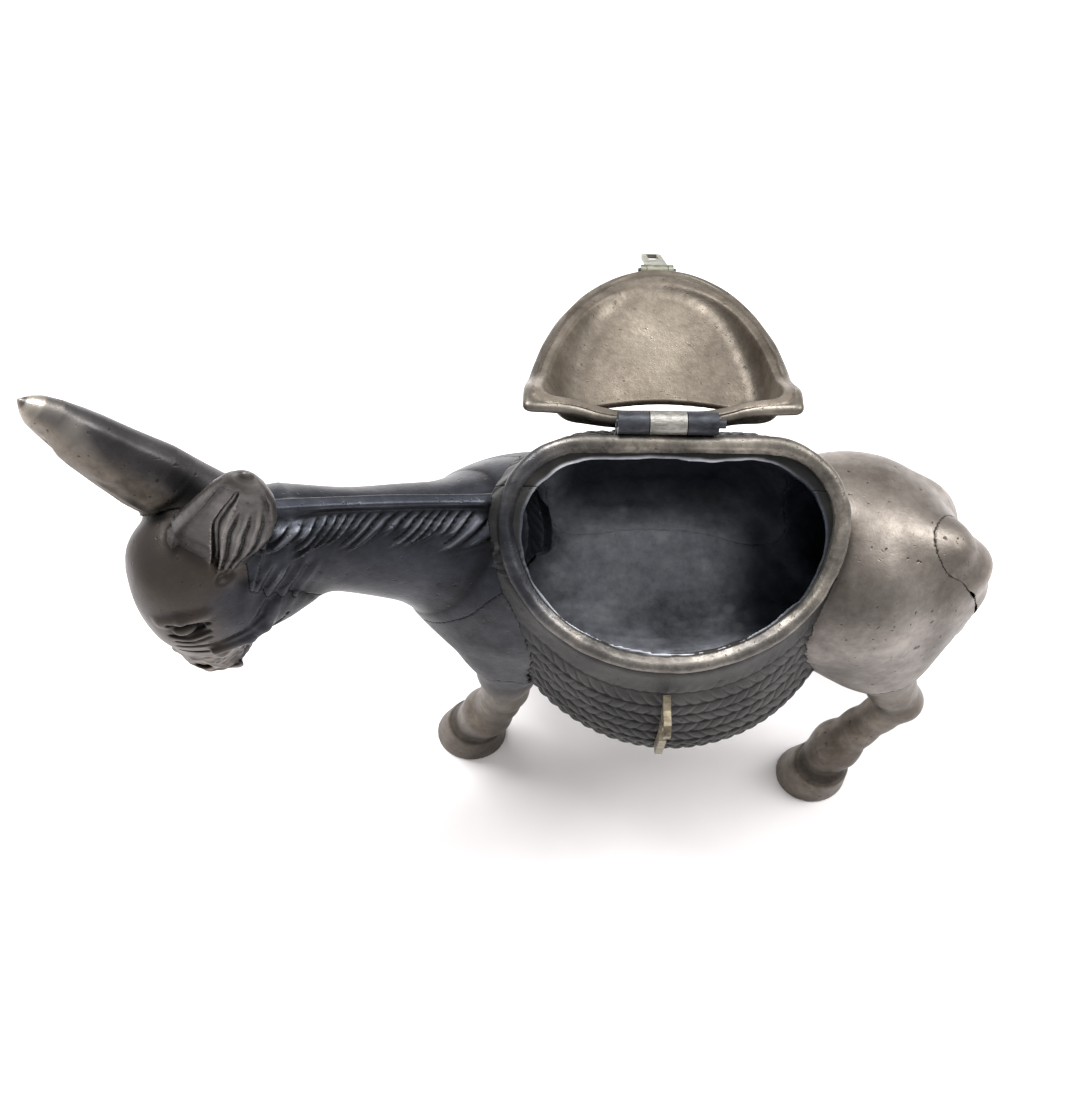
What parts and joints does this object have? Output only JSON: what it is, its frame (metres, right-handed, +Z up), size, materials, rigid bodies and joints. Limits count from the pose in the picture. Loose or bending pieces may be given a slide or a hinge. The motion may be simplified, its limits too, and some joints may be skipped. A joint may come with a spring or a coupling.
{
  "type": "coin bank",
  "caption": "Donkey-shaped cast metal coin bank with a woven pack, a hinged lid with a coin slot, and a small hasp and staple for a padlock.",
  "frame": {"origin": "on the surface under the hooves, below the middle of the bank's outline with the lid folded open", "axes": "+Z up, -X towards the head, -Y towards the near side, where the hasp and staple are"},
  "size_m": [0.1595, 0.0951, 0.1207],
  "materials": {
    "casting": "tarnished white-metal casting",
    "pack": "dark tarnished casting, woven relief",
    "rim": "worn, rubbed bright",
    "staple": "worn, rubbed bright",
    "lid": "warm tarnished casting",
    "lid_leaf": "grainy bright",
    "hinge_steel": "dark steel",
    "hasp": "dull, greenish"
  },
  "bodies": {
    "donkey": {"torso": "casting", "neck": "casting", "head": "casting", "ear_near": "casting", "ear_far": "casting", "fore_leg_near": "casting", "fore_leg_far": "casting", "hind_leg_near": "casting", "hind_leg_far": "casting", "tail": "casting", "pack_near": "pack", "pack_far": "pack", "rim": "rim", "staple": "staple", "body_hinge_leaf": "hinge_steel", "body_hinge_rivets": "hinge_steel", "hinge_pin": "hinge_steel"},
    "lid": {"lid_shell": "lid", "lid_bead": "lid", "lid_hinge_leaf": "lid_leaf", "lid_hinge_rivets": "hinge_steel", "hasp_bracket": "lid_leaf", "hasp_pin": "hinge_steel"},
    "hasp": {"hasp": "hasp"}
  },
  "joints": [
    {"name": "lid_hinge", "type": "hinge", "parent": "donkey", "child": "lid", "pos_m": [0.0186, -0.00512, 0.09809], "axis": [1, 0, 0], "range_deg": [0, 231.5]},
    {"name": "hasp_hinge", "type": "hinge", "parent": "lid", "child": "hasp", "pos_m": [0.0202, 0.03702, 0.08295], "axis": [1, 0, 0], "range_deg": [-47, 67]}
  ]
}
